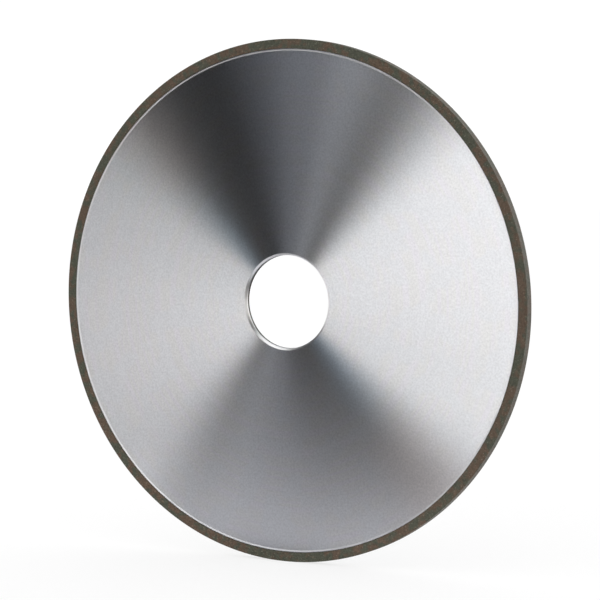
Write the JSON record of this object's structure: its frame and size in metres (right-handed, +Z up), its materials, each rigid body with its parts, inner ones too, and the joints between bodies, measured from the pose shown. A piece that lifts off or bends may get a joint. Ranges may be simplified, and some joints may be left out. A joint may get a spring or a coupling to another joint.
{
  "type": "diamond grinding wheel",
  "caption": "Straight diamond grinding wheel: a turned aluminium disc with a plain bore and a thin resin-bonded diamond ring round its edge.",
  "frame": {"origin": "centre of the bore, half-way through the wheel's thickness", "axes": "+Y along the spin axis, out of the rear face; the front face looks along -Y; +Z up, with the wheel standing on its rim"},
  "size_m": [0.1778, 0.0032, 0.1778],
  "materials": {
    "core_aluminium": "fine lathe-turned, concentric",
    "diamond_resin": "matt, fine-grained resin-bonded diamond",
    "bond_epoxy": "smooth dark epoxy"
  },
  "bodies": {
    "root": {"core": "core_aluminium", "diamond_rim": "diamond_resin", "bond_line": "bond_epoxy"}
  },
  "joints": []
}
